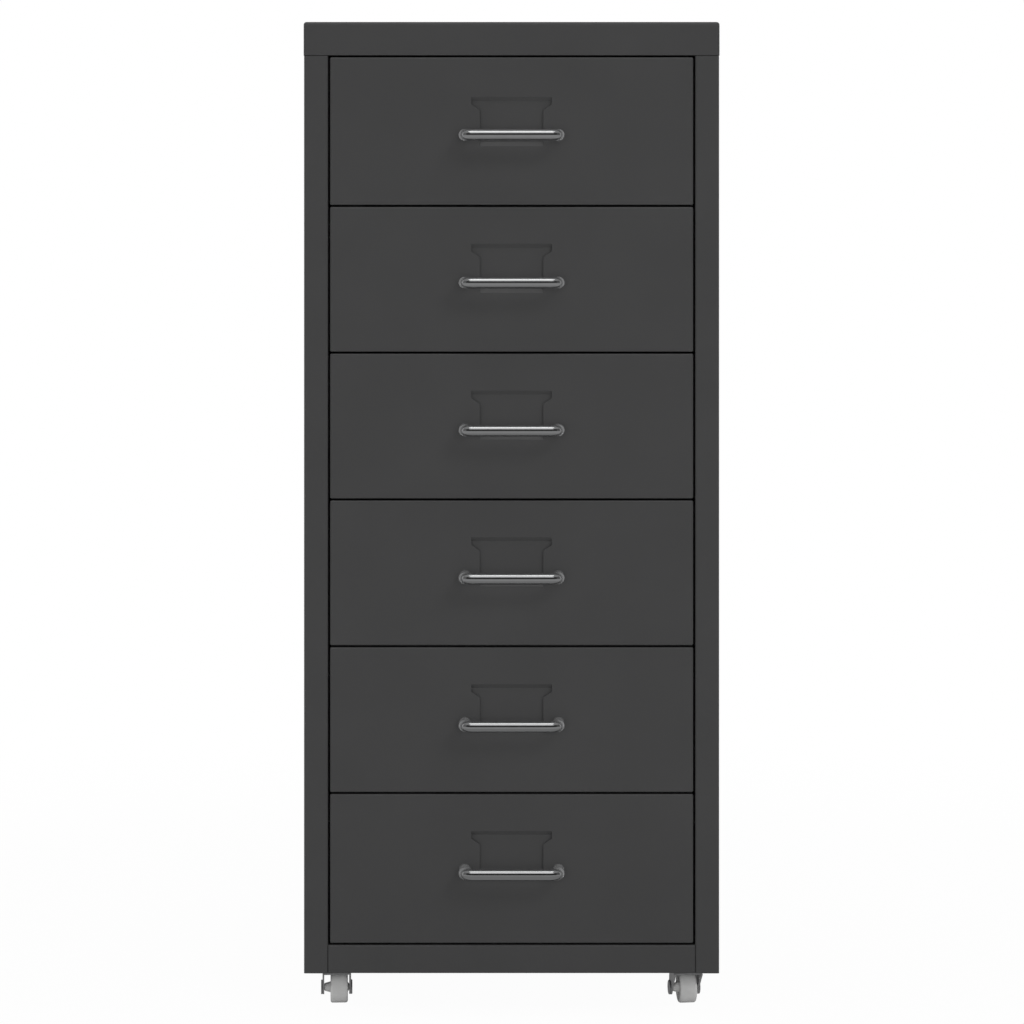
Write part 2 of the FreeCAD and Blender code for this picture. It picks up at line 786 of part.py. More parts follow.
def make_caster_screws():
    """Four screws for each caster plate, driven up into the base pan."""
    body = new_body("caster_screws", up="plate_under")
    heads = new_sketch(body, "heads", "XY")
    shanks = new_sketch(body, "shanks", "XY")
    sockets = new_sketch(body, "sockets", "XY", "-caster_screw_head_height")
    for corner in CASTERS:
        for across, along in plate_holes(*kingpin_place(corner)):
            add_circle(heads, across, along, "caster_screw_head / 2")
            add_circle(shanks, across, along, "caster_screw / 2")
            add_circle(sockets, across, along, "socket_width / 2")
    add_pad(body, heads, "caster_screw_head_height", backwards=True)
    add_pad(body, shanks, "caster_screw_length")
    add_pocket(body, sockets, "caster_screw_head_height / 2", backwards=True)


# Casters

def make_caster_plate(corner):
    """Square plate with a race under it, four screw holes and the kingpin's hole."""
    across, along = kingpin_place(corner)
    body = new_body(f"caster_plate_{corner}", across, along, "plate_under")
    outline = new_sketch(body, "outline", "XY")
    half = "plate_size / 2"
    add_rectangle(outline, f"-{half}", half, f"-{half}", half)
    for hole_across, hole_along in plate_holes("0", "0"):
        add_circle(outline, hole_across, hole_along, "caster_screw / 2 + screw_fit")
    plate = add_pad(body, outline, "plate_sheet")

    def is_corner(middle, direction):
        square = near(abs(middle.x), half) and near(abs(middle.y), half)
        return square and abs(direction.z) > 0

    add_fillet(body, plate, "corners", "plate_corner_radius", is_corner)
    race = new_sketch(body, "race", "XY")
    add_circle(race, "0", "0", "race_diameter / 2")
    add_pad(body, race, "plate_race_height", backwards=True)
    bore = new_sketch(body, "bore", "XY")
    add_circle(bore, "0", "0", "kingpin_diameter / 2 + screw_fit")
    add_pocket(body, bore, "2 * (plate_sheet + plate_race_height)", midplane=True)


def make_kingpins():
    """One rivet for each caster, its head under the fork's crown."""
    body = new_body("caster_kingpins", up="crown_under - kingpin_head_gap")
    heads = new_sketch(body, "heads", "XY")
    shanks = new_sketch(body, "shanks", "XY")
    for corner in CASTERS:
        across, along = kingpin_place(corner)
        add_circle(heads, across, along, "kingpin_head_diameter / 2")
        add_circle(shanks, across, along, "kingpin_diameter / 2")
    add_pad(body, heads, "kingpin_head_height", backwards=True)
    add_pad(body, shanks, "body_bottom - crown_under + kingpin_head_gap")


def turn_body(body, corner):
    """Turn a caster's piece about the upright axis to where it stands at rest."""
    body.Placement = FreeCAD.Placement(
        FreeCAD.Vector(0, 0, 0), FreeCAD.Rotation(FreeCAD.Vector(0, 0, 1), 0)
    )
    bind(body, "Placement.Rotation.Angle", f"turn_{corner}")


def axle_place(corner):
    """Place of a caster's axle, behind its kingpin in the direction that it is turned."""
    across, along = kingpin_place(corner)
    turn = f"turn_{corner}"
    return (
        f"{across} - caster_trail * sin({turn})",
        f"{along} + caster_trail * cos({turn})",
        "axle_height",
    )


def make_fork(corner):
    """Bent fork: a crown with its race, and two legs that slope back to the axle."""
    across, along = kingpin_place(corner)
    body = new_body(f"caster_fork_{corner}", across, along, "axle_height")
    turn_body(body, corner)
    crown_under, crown_top = "crown_under - axle_height", "crown_top - axle_height"
    end_radius = "fork_end_diameter / 2"
    side_view = new_sketch(body, "side_view", "YZ")
    spots = [
        (f"caster_trail - {end_radius}", "0"),
        ("-fork_front", crown_under),
        ("-fork_front", crown_top),
        ("fork_back", crown_top),
        ("fork_back", crown_under),
        (f"caster_trail + {end_radius}", "0"),
    ]
    points = [FreeCAD.Vector(value(a), value(b), 0) for a, b in spots]
    side_view.addGeometry([Part.LineSegment(a, b) for a, b in zip(points, points[1:])], False)
    for edge in range(len(spots) - 1):
        pin_point(side_view, edge, 1, *spots[edge])
        if edge:
            side_view.addConstraint(Sketcher.Constraint("Coincident", edge - 1, 2, edge, 1))
    last = len(spots) - 2
    pin_point(side_view, last, 2, *spots[-1])
    lowest = FreeCAD.Vector(value("caster_trail"), -value(end_radius), 0)
    arc = side_view.addGeometry(Part.Arc(points[0], lowest, points[-1]), False)
    side_view.addConstraint(Sketcher.Constraint("Coincident", arc, 1, 0, 1))
    side_view.addConstraint(Sketcher.Constraint("Coincident", arc, 2, last, 2))
    side_view.addConstraint(Sketcher.Constraint("PointOnObject", arc, 3, -1))
    block = add_pad(body, side_view, "2 * fork_half", midplane=True)

    def is_shoulder(middle, direction):
        fore_and_aft = abs(direction.y) > abs(direction.x) + abs(direction.z)
        return fore_and_aft and near(middle.z, crown_top)

    add_fillet(body, block, "shoulders", "fork_sheet", is_shoulder)
    gap = new_sketch(body, "gap", "XZ")
    add_rectangle(gap, "-fork_gap_half", "fork_gap_half", "-fork_end_diameter", crown_under)
    add_pocket(body, gap, "4 * (fork_back + fork_end_diameter)", midplane=True)
    race = new_sketch(body, "race", "XY", crown_top)
    add_circle(race, "0", "0", "race_diameter / 2")
    add_pad(body, race, "fork_race_height")
    bore = new_sketch(body, "kingpin_bore", "XY", crown_top)
    add_circle(bore, "0", "0", "kingpin_diameter / 2 + kingpin_fit")
    add_pocket(body, bore, "4 * (fork_sheet + fork_race_height)", midplane=True)
    holes = new_sketch(body, "axle_holes", "YZ")
    add_circle(holes, "caster_trail", "0", "axle_diameter / 2 + screw_fit")
    add_pocket(body, holes, "4 * fork_half", midplane=True)


def add_turned_solid(body, name, corners):
    """Turn a profile about the X axis through the body's origin."""
    profile = new_sketch(body, name, "XY")
    add_outline(profile, corners)
    solid = body.newObject("PartDesign::Revolution", f"{body.Name}_{name}_turned")
    solid.Profile = profile
    solid.ReferenceAxis = (profile, ["H_Axis"])
    solid.Angle = 360.0
    return solid


def make_axle(corner):
    """Rivet through both legs of the fork, with a flat head at each end."""
    body = new_body(f"caster_axle_{corner}", *axle_place(corner))
    turn_body(body, corner)
    end = "fork_half + axle_head_height"
    pin, head = "axle_diameter / 2", "axle_head_diameter / 2"
    rivet = add_turned_solid(
        body,
        "rivet",
        [
            (f"-({end})", "0"),
            (f"-({end})", head),
            ("-fork_half", head),
            ("-fork_half", pin),
            ("fork_half", pin),
            ("fork_half", head),
            (end, head),
            (end, "0"),
        ],
    )

    def is_head_edge(middle, direction):
        return near(abs(middle.x), end)

    add_fillet(body, rivet, "head_edges", "axle_head_height / 2", is_head_edge)


def make_wheel(corner):
    """Moulded wheel with a long tapered hub on one side, so that it runs off centre."""
    body = new_body(f"caster_wheel_{corner}", *axle_place(corner))
    turn_body(body, corner)
    bore = "axle_diameter / 2 + axle_fit"
    rim = "axle_height - wheel_rim"
    tread = add_turned_solid(
        body,
        "profile",
        [
            ("-wheel_hub_half", bore),
            ("-wheel_hub_half", "hub_tip_diameter / 2"),
            ("wheel_left + wheel_dish", "hub_root_diameter / 2"),
            ("wheel_left + wheel_dish", rim),
            ("wheel_left", rim),
            ("wheel_left", "axle_height"),
            ("wheel_right", "axle_height"),
            ("wheel_right", rim),
            ("wheel_right - wheel_dish", rim),
            ("wheel_right - wheel_dish", "hub_root_diameter / 2"),
            ("wheel_hub_half", "hub_tip_diameter / 2"),
            ("wheel_hub_half", bore),
        ],
    )

    def is_tread_edge(middle, direction):
        return near((middle.y ** 2 + middle.z ** 2) ** 0.5, "axle_height")

    add_fillet(body, tread, "tread_edges", "wheel_edge_radius", is_tread_edge)


def check_model():
    """Stop if any object failed or any sub-part isn't a sound solid."""
    document.recompute()
    for item in document.Objects:
        if {"Invalid", "Error"} & set(item.State):
            raise RuntimeError(f"{item.Name} failed: {item.State}")
    for item in sub_parts:
        shape = item.Shape
        if shape.isNull() or not shape.isValid() or not shape.Solids:
            raise RuntimeError(f"{item.Label} has no sound solid")


def export_model():
    """Write each sub-part to its own file."""
    os.makedirs("parts", exist_ok=True)
    for item in sub_parts:
        item.Shape.exportStep(f"parts/{item.Label}.step")


def main():
    fill_sheets()
    make_top_cover()
    make_base_pan()
    make_back_panel()
    for name, side in SIDES.items():
        make_side_panel(name, side)
        for number in range(1, DRAWERS + 1):
            make_runner(name, side, number)
    for number in range(1, DRAWERS + 1):
        make_drawer_front(number)
        make_drawer_tray(number)
        make_handle(number)
        make_handle_screws(number)
    make_panel_screws()
    make_caster_screws()
    make_kingpins()
    for corner in CASTERS:
        make_caster_plate(corner)
        make_fork(corner)
        make_axle(corner)
        make_wheel(corner)
    check_model()
    export_model()


main()
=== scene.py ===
"""Finishes, fine pieces, room and camera for a narrow metal cabinet with six drawers.

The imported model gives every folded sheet, runner, fork and plate its shape and place. Here they
get their paint and plating, and the drawn wire handles, recessed screws, riveted axles and
moulded wheels are made in finer form, each on the body that carries it. Lengths are in metres.
"""

import json
import logging
import math
from dataclasses import dataclass
from enum import Enum

import bmesh
import bpy
from mathutils import Matrix, Vector

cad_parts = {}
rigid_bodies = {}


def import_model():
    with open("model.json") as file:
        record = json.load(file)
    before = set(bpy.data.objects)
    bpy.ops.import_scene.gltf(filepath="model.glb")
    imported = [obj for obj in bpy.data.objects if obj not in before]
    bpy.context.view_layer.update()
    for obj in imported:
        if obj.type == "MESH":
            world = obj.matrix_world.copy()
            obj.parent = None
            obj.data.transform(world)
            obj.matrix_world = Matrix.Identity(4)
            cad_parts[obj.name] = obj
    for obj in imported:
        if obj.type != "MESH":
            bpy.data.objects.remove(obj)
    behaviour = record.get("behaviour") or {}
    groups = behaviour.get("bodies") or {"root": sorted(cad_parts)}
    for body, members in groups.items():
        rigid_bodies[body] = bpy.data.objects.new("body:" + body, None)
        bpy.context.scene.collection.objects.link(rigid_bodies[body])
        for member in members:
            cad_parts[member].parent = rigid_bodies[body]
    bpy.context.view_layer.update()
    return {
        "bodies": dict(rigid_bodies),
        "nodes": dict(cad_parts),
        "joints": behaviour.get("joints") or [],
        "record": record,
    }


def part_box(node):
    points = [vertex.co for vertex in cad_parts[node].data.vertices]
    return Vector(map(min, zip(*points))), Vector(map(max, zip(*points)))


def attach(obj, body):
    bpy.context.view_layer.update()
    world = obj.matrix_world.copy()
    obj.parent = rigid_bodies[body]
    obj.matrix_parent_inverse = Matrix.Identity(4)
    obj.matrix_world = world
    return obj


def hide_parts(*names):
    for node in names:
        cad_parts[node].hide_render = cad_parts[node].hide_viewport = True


MM = 0.001
DRAWER_COUNT = 6
ON_AXIS = 1e-7
NOISE_SPAN = (0.3, 0.7)
ROUNDING_SAMPLES = 4
UP = Vector((0.0, 0.0, 1.0))
DOWNWARDS = Vector((0.0, 0.0, -1.0))
FORWARDS = Vector((0.0, -1.0, 0.0))
BACKWARDS = Vector((0.0, 1.0, 0.0))
WHITE = (1.0, 1.0, 1.0, 1.0)
BLACK = (0.0, 0.0, 0.0, 1.0)

log = logging.getLogger("drawer_cabinet")

Point = tuple[float, float]
Triple = tuple[float, float, float]
Shape = bmesh.types.BMesh
Ring = list[bmesh.types.BMVert]
Socket = bpy.types.NodeSocket


class Slot(Enum):
    """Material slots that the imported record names."""

    PAINTED_SHEET = "painted_sheet"
    CHROMED_WIRE = "chromed_wire"
    ZINC_SCREW = "zinc_screw"
    CASTER_METAL = "caster_metal"
    WHEEL_PLASTIC = "wheel_plastic"


class Side(Enum):
    """Sides of the cabinet, seen from the front."""

    LEFT = -1
    RIGHT = 1


class Corner(Enum):
    """Places of the four casters."""

    FRONT_LEFT = "front_left"
    FRONT_RIGHT = "front_right"
    REAR_LEFT = "rear_left"
    REAR_RIGHT = "rear_right"


def joint_named(frame: dict, name: str) -> dict:
    """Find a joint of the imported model.

    Args:
        frame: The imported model.
        name: The joint's name.

    Returns:
        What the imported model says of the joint.
    """
    return next(joint for joint in frame["joints"] if joint["name"] == name)


# Finishes


@dataclass(frozen=True)
class Cloud:
    """Cloudy noise: the size of a swell, its finer layers, and its stretch along X, Y and Z."""

    cell: float
    detail: float = 2.0
    stretch: Triple = (1.0, 1.0, 1.0)


@dataclass(frozen=True)
class Relief:
    """Noise that raises and sinks a surface, and how deep."""

    cloud: Cloud
    depth: float


@dataclass(frozen=True)
class Slope:
    """Value that changes smoothly between two places along Y, from front to back."""

    span: Point
    levels: Point


class ShaderBoard:
    """Lays out the nodes of one material around a principled shader."""

    def __init__(self, name: str) -> None:
        """Start a material with an empty board.

        Args:
            name: What the material is called.
        """
        self.material = bpy.data.materials.new(name)
        self.material.use_nodes = True
        tree = self.material.node_tree
        self.nodes = tree.nodes
        self.links = tree.links
        self.nodes.clear()
        self.shader = self.nodes.new("ShaderNodeBsdfPrincipled")
        self.output = self.nodes.new("ShaderNodeOutputMaterial")
        self.links.new(self.shader.outputs["BSDF"], self.output.inputs["Surface"])
        self.place = self.nodes.new("ShaderNodeTexCoord").outputs["Object"]
        self.normal: Socket | None = None

    def noise(self, cloud: Cloud) -> Socket:
        """Cloudy noise fixed to the piece.

        Args:
            cloud: The noise's form.

        Returns:
            The noise's value, about 0.25 to 0.75.
        """
        scaling = self.nodes.new("ShaderNodeMapping")
        scaling.inputs["Scale"].default_value = [1.0 / (cloud.cell * s) for s in cloud.stretch]
        self.links.new(self.place, scaling.inputs["Vector"])
        texture = self.nodes.new("ShaderNodeTexNoise")
        texture.inputs["Scale"].default_value = 1.0
        texture.inputs["Detail"].default_value = cloud.detail
        self.links.new(scaling.outputs["Vector"], texture.inputs["Vector"])
        return texture.outputs["Fac"]

    def ranged(self, value: Socket, span: Point, levels: Point, curve: str = "LINEAR") -> Socket:
        """Map one range of a value onto another.

        Args:
            value: The value.
            span: Where the change starts and ends.
            levels: What the start and the end become.
            curve: How it goes from one to the other.

        Returns:
            The mapped value.
        """
        ranging = self.nodes.new("ShaderNodeMapRange")
        ranging.interpolation_type = curve
        ranging.inputs["From Min"].default_value = span[0]
        ranging.inputs["From Max"].default_value = span[1]
        ranging.inputs["To Min"].default_value = levels[0]
        ranging.inputs["To Max"].default_value = levels[1]
        self.links.new(value, ranging.inputs["Value"])
        return ranging.outputs["Result"]

    def patches(self, cloud: Cloud, levels: Point) -> Socket:
        """Patches that vary between two levels, as a noise does.

        Args:
            cloud: The noise's form.
            levels: What its dips and its swells give.

        Returns:
            The varying value.
        """
        return self.ranged(self.noise(cloud), NOISE_SPAN, levels)

    def slope(self, slope: Slope) -> Socket:
        """Let a value change from the piece's front to its back.

        Args:
            slope: Where and how much it changes.

        Returns:
            The changing value.
        """
        parts = self.nodes.new("ShaderNodeSeparateXYZ")
        self.links.new(self.place, parts.inputs["Vector"])
        return self.ranged(parts.outputs["Y"], slope.span, slope.levels, "SMOOTHSTEP")

    def shade(self, cloud: Cloud, colour: Triple, change: float) -> None:
        """Let the colour drift a little with a noise.

        Args:
            cloud: The noise's form.
            colour: The middle colour.
            change: How far it drifts each way, as a share of the colour.
        """
        mixing = self.nodes.new("ShaderNodeMix")
        mixing.data_type = "RGBA"
        mixing.inputs["A"].default_value = [c * (1 - change) for c in colour] + [1.0]
        mixing.inputs["B"].default_value = [c * (1 + change) for c in colour] + [1.0]
        self.links.new(self.patches(cloud, (0.0, 1.0)), mixing.inputs["Factor"])
        self.links.new(mixing.outputs["Result"], self.shader.inputs["Base Color"])

    def soften_edges(self, radius: float) -> None:
        """Let light roll round the sharp edges of a sheet.

        Args:
            radius: How far from an edge the light starts to turn.
        """
        rounding = self.nodes.new("ShaderNodeBevel")
        rounding.samples = ROUNDING_SAMPLES
        rounding.inputs["Radius"].default_value = radius
        self.normal = rounding.outputs["Normal"]
        self.links.new(self.normal, self.shader.inputs["Normal"])

    def bump(self, relief: Relief) -> None:
        """Lay a relief on top of what is there already.

        Args:
            relief: The noise and its depth.
        """
        raising = self.nodes.new("ShaderNodeBump")
        raising.inputs["Strength"].default_value = 1.0
        raising.inputs["Distance"].default_value = relief.depth
        self.links.new(self.noise(relief.cloud), raising.inputs["Height"])
        if self.normal is not None:
            self.links.new(self.normal, raising.inputs["Normal"])
        self.normal = raising.outputs["Normal"]
        self.links.new(self.normal, self.shader.inputs["Normal"])


@dataclass(frozen=True)
class Finish:
    """How one kind of surface looks. Each finish of the cabinet fills these fields in.

    The tint's noise lets the colour drift by a share of it, and the patches' noise varies the
    roughness between its two levels. The reliefs lie on each other, the coarse one first.
    """

    name: str
    colour: Triple
    drift: float
    tint: Cloud
    roughness: Point
    patches: Cloud
    reliefs: tuple[Relief, ...]
    metal: float | Slope = 0.0
    refraction: float = 1.5
    edge_radius: float = 0.0

    def build(self) -> bpy.types.Material:
        """Lay the finish's nodes out.

        Returns:
            The finish's material.
        """
        board = ShaderBoard(self.name)
        inputs = board.shader.inputs
        if isinstance(self.metal, Slope):
            board.links.new(board.slope(self.metal), inputs["Metallic"])
        else:
            inputs["Metallic"].default_value = self.metal
        inputs["IOR"].default_value = self.refraction
        board.shade(self.tint, self.colour, self.drift)
        board.links.new(board.patches(self.patches, self.roughness), inputs["Roughness"])
        if self.edge_radius > 0.0:
            board.soften_edges(self.edge_radius)
        for relief in self.reliefs:
            board.bump(relief)
        return board.material


@dataclass(frozen=True)
class PowderCoat(Finish):
    """Anthracite powder coat, satin, with the soft peel that it cures to and a fine grain."""

    name: str = "anthracite_powder_coat"
    colour: Triple = (0.044, 0.044, 0.0445)
    drift: float = 0.03
    tint: Cloud = Cloud(60.0 * MM)
    roughness: Point = (0.40, 0.48)
    patches: Cloud = Cloud(25.0 * MM, 3.0)
    reliefs: tuple[Relief, ...] = (
        Relief(Cloud(1.8 * MM, 1.0), 0.012 * MM),
        Relief(Cloud(0.35 * MM, 1.0), 0.0012 * MM),
    )
    edge_radius: float = 0.4 * MM


@dataclass(frozen=True)
class ChromePlate(Finish):
    """Chrome over drawn wire, with a trace of haze.

    It is fully metallic on a handle's bar. On the legs behind the bar it is half diffuse, a painted
    reflection that lets the legs show light grey where the mirror would show the dark front.
    """

    name: str = "bright_chrome"
    colour: Triple = (0.54, 0.545, 0.55)
    drift: float = 0.02
    tint: Cloud = Cloud(9.0 * MM)
    roughness: Point = (0.08, 0.13)
    patches: Cloud = Cloud(3.0 * MM, 4.0)
    reliefs: tuple[Relief, ...] = (
        Relief(Cloud(5.0 * MM, 1.0, (4.0, 1.0, 1.0)), 0.006 * MM),
        Relief(Cloud(0.5 * MM, 2.0, (6.0, 1.0, 1.0)), 0.0006 * MM),
    )
    # Half metallic on the legs behind the bar: a painted reflection that shows the legs light grey.
    metal: float | Slope = Slope((-202.5 * MM, -198.0 * MM), (1.0, 0.5))


@dataclass(frozen=True)
class ZincPlate(Finish):
    """Thin bright zinc on a machine screw, with its spangle."""

    name: str = "bright_zinc"
    colour: Triple = (0.50, 0.51, 0.52)
    drift: float = 0.06
    tint: Cloud = Cloud(1.5 * MM, 3.0)
    roughness: Point = (0.27, 0.40)
    patches: Cloud = Cloud(0.8 * MM, 3.0)
    reliefs: tuple[Relief, ...] = (Relief(Cloud(0.6 * MM, 3.0), 0.004 * MM),)
    metal: float | Slope = 1.0


@dataclass(frozen=True)
class PressedSteel(Finish):
    """Rolled steel under dull zinc, as casters are stamped from: dents, then rolling lines."""

    name: str = "dull_zinc_steel"
    colour: Triple = (0.58, 0.58, 0.585)
    drift: float = 0.12
    tint: Cloud = Cloud(5.0 * MM, 4.0)
    roughness: Point = (0.34, 0.50)
    patches: Cloud = Cloud(2.0 * MM, 4.0)
    reliefs: tuple[Relief, ...] = (
        Relief(Cloud(4.0 * MM, 1.0), 0.02 * MM),
        Relief(Cloud(0.25 * MM, 2.0, (1.0, 24.0, 1.0)), 0.0025 * MM),
    )
    metal: float | Slope = 1.0
    edge_radius: float = 0.3 * MM


@dataclass(frozen=True)
class WheelNylon(Finish):
    """Moulded grey nylon: the flow of the melt under a fine matt skin."""

    name: str = "grey_nylon"
    colour: Triple = (0.53, 0.53, 0.525)
    drift: float = 0.05
    tint: Cloud = Cloud(7.0 * MM, 3.0)
    roughness: Point = (0.46, 0.58)
    patches: Cloud = Cloud(2.0 * MM, 3.0)
    reliefs: tuple[Relief, ...] = (
        Relief(Cloud(6.0 * MM, 1.0), 0.03 * MM),
        Relief(Cloud(0.3 * MM, 2.0), 0.004 * MM),
    )
    refraction: float = 1.53


class Finishes:
    """The five finishes of the cabinet, each made once."""

    def __init__(self) -> None:
        """Make each finish's material."""
        self.materials: dict[Slot, bpy.types.Material] = {
            Slot.PAINTED_SHEET: PowderCoat().build(),
            Slot.CHROMED_WIRE: ChromePlate().build(),
            Slot.ZINC_SCREW: ZincPlate().build(),
            Slot.CASTER_METAL: PressedSteel().build(),
            Slot.WHEEL_PLASTIC: WheelNylon().build(),
        }

    def dress_node(self, node: bpy.types.Object, slot: Slot) -> None:
        """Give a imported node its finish.

        Args:
            node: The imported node's object.
            slot: The finish that it takes.
        """
        if not node.material_slots:
            node.data.materials.append(self.materials[slot])
        for place in node.material_slots:
            place.material = self.materials[slot]

    def dress_piece(self, piece: bpy.types.Object, slot: Slot) -> None:
        """Give a made piece its finish.

        Args:
            piece: The piece.
            slot: The finish that it takes.
        """
        piece.data.materials.append(self.materials[slot])


# Shapes that several pieces share


def turned(outline: list[Point], sides: int) -> Shape:
    """Turn an outline once round the Z axis.

    Args:
        outline: Radius and height of each corner, from one end of the axis to the other. A
            closed outline repeats its first corner at its end.
        sides: How many faces go round.

    Returns:
        The turned shape.
    """
    shape = bmesh.new()
    rings: list[Ring] = []
    closed = outline[0] == outline[-1]
    turns = [2 * math.pi * step / sides for step in range(sides)]
    for radius, height in outline[:-1] if closed else outline:
        if radius < ON_AXIS:
            rings.append([shape.verts.new((0.0, 0.0, height))])
            continue
        rings.append(
            [shape.verts.new((radius * math.cos(t), radius * math.sin(t), height)) for t in turns]
        )
    pairs = list(zip(rings, rings[1:]))
    if closed:
        pairs.append((rings[-1], rings[0]))
    for low, high in pairs:
        for step in range(sides):
            after = (step + 1) % sides
            if len(low) == 1:
                shape.faces.new((low[0], high[step], high[after]))
            elif len(high) == 1:
                shape.faces.new((low[step], high[0], low[after]))
            else:
                shape.faces.new((low[step], high[step], high[after], low[after]))
    bmesh.ops.recalc_face_normals(shape, faces=shape.faces)
    return shape


def arc(centre: Point, radius: float, start: float, end: float, steps: int) -> list[Point]:
    """Points along a round corner.

    Args:
        centre: Middle of the corner's circle.
        radius: The circle's radius.
        start: Angle of the first point, in degrees.
        end: Angle of the last point, in degrees.
        steps: How many chords the corner has.

    Returns:
        The points, both ends among them.
    """
    angles = [math.radians(start + (end - start) * step / steps) for step in range(steps + 1)]
    return [(centre[0] + radius * math.cos(a), centre[1] + radius * math.sin(a)) for a in angles]


def as_piece(shape: Shape, name: str, crease: float = 32.0) -> bpy.types.Object:
    """Make a shape an object of the scene, smooth but for its creases.

    Args:
        shape: The shape, which is used up.
        name: The piece's name.
        crease: Angle between faces, in degrees, from which an edge stays sharp.

    Returns:
        The new object.
    """
    mesh = bpy.data.meshes.new(name)
    shape.to_mesh(mesh)
    shape.free()
    mesh.shade_smooth()
    mesh.set_sharp_from_angle(angle=math.radians(crease))
    piece = bpy.data.objects.new(name, mesh)
    bpy.context.scene.collection.objects.link(piece)
    return piece


@dataclass
class RecessedScrew:
    """Pan head screw with a cross recess. It is made with its seat at the origin, head up.

    The crown, the brim and the punch's top and depth are shares of the head's height, the recess
    reach and width shares of its radius. The thread's depth is a share of its pitch, and the
    crest and the tip are shares of the shank's radius.
    """

    head_radius: float
    head_height: float
    shank_radius: float
    shank_length: float
    crown: float = 0.42
    crown_steps: int = 8
    crown_power: float = 0.8
    brim: float = 0.12
    underside: float = 0.97
    thread_pitch: float = 0.7 * MM
    thread_depth: float = 0.4
    thread_crest: float = 0.98
    tip: float = 0.5
    recess_reach: float = 0.56
    recess_width: float = 0.26
    recess_top: float = 1.2
    recess_depth: float = 0.62
    recess_taper: float = 0.62
    first_turn: float = 0.35
    next_turn: float = 0.9
    sides: int = 40

    def outline(self) -> list[Point]:
        """Half section of the head and the threaded shank.

        Returns:
            Radius and height of each corner, from the top of the head to the tip.
        """
        crown = self.crown * self.head_height
        side = self.head_height - crown
        points: list[Point] = [(0.0, self.head_height)]
        for step in range(1, self.crown_steps + 1):
            turn = math.radians(90 * step / self.crown_steps)
            reach = self.head_radius * math.sin(turn) ** self.crown_power
            points.append((reach, side + crown * math.cos(turn)))
        pitch = self.thread_pitch
        depth = self.thread_depth * pitch
        crest = self.shank_radius * self.thread_crest
        root = self.shank_radius - depth
        points += [
            (self.head_radius, self.brim * self.head_height),
            (self.head_radius * self.underside, 0.0),
            (crest, 0.0),
        ]
        for step in range(int((self.shank_length - 1.5 * pitch) / pitch)):
            level = -(0.5 * pitch + step * pitch)
            points += [(root, level), (crest, level - 0.5 * pitch)]
        points += [
            (root, -(self.shank_length - depth)),
            (self.tip * self.shank_radius, -self.shank_length),
            (0.0, -self.shank_length),
        ]
        return points

    def recess(self) -> Shape:
        """Cross shaped punch that tapers as it goes down.

        Returns:
            The punch's shape.
        """
        reach = self.recess_reach * self.head_radius
        half = self.recess_width * self.head_radius / 2
        top = self.head_height * self.recess_top
        bottom = self.head_height * (1 - self.recess_depth)
        ring = [
            (x * math.cos(t) - y * math.sin(t), x * math.sin(t) + y * math.cos(t))
            for t in (0.0, math.pi / 2, math.pi, 3 * math.pi / 2)
            for x, y in ((reach, -half), (reach, half), (half, half))
        ]
        taper = self.recess_taper
        shape = bmesh.new()
        upper = [shape.verts.new((x, y, top)) for x, y in ring]
        lower = [shape.verts.new((x * taper, y * taper, bottom)) for x, y in ring]
        for step in range(len(ring)):
            after = (step + 1) % len(ring)
            shape.faces.new((upper[step], lower[step], lower[after], upper[after]))
        shape.faces.new(upper)
        shape.faces.new(lower)
        bmesh.ops.recalc_face_normals(shape, faces=shape.faces)
        return shape

    def mesh(self) -> bpy.types.Mesh:
        """Punch the recess into the screw.

        Returns:
            The finished screw's mesh.
        """
        screw = as_piece(turned(self.outline(), self.sides), "screw_blank")
        punch = as_piece(self.recess(), "screw_punch")
        cut = screw.modifiers.new("recess", "BOOLEAN")
        cut.operation = "DIFFERENCE"
        cut.solver = "EXACT"
        cut.object = punch
        view = bpy.context.evaluated_depsgraph_get()
        made = bpy.data.meshes.new_from_object(screw.evaluated_get(view))
        for spare in (screw, punch):
            bpy.data.objects.remove(spare)
        return made

    def set_in(self, name: str, seats: list[Matrix]) -> bpy.types.Object:
        """Put one screw at each seat, all in one piece.

        Args:
            name: The piece's name.
            seats: Place of each screw; its Z axis points out of the head.

        Returns:
            The piece.
        """
        pattern = self.mesh()
        shape = bmesh.new()
        for number, place in enumerate(seats):
            turn = self.next_turn * number + self.first_turn
            copy = pattern.copy()
            copy.transform(place @ Matrix.Rotation(turn, 4, "Z"))
            shape.from_mesh(copy)
            bpy.data.meshes.remove(copy)
        bpy.data.meshes.remove(pattern)
        return as_piece(shape, name)


def seat(x: float, y: float, z: float, outwards: Vector) -> Matrix:
    """Place of a screw whose head points outwards.

    Args:
        x: Across.
        y: From front to back.
        z: Above the floor.
        outwards: Which way the head points.

    Returns:
        The place as a matrix.
    """
    return Matrix.Translation((x, y, z)) @ outwards.to_track_quat("Z", "Y").to_matrix().to_4x4()


# Sub-assemblies


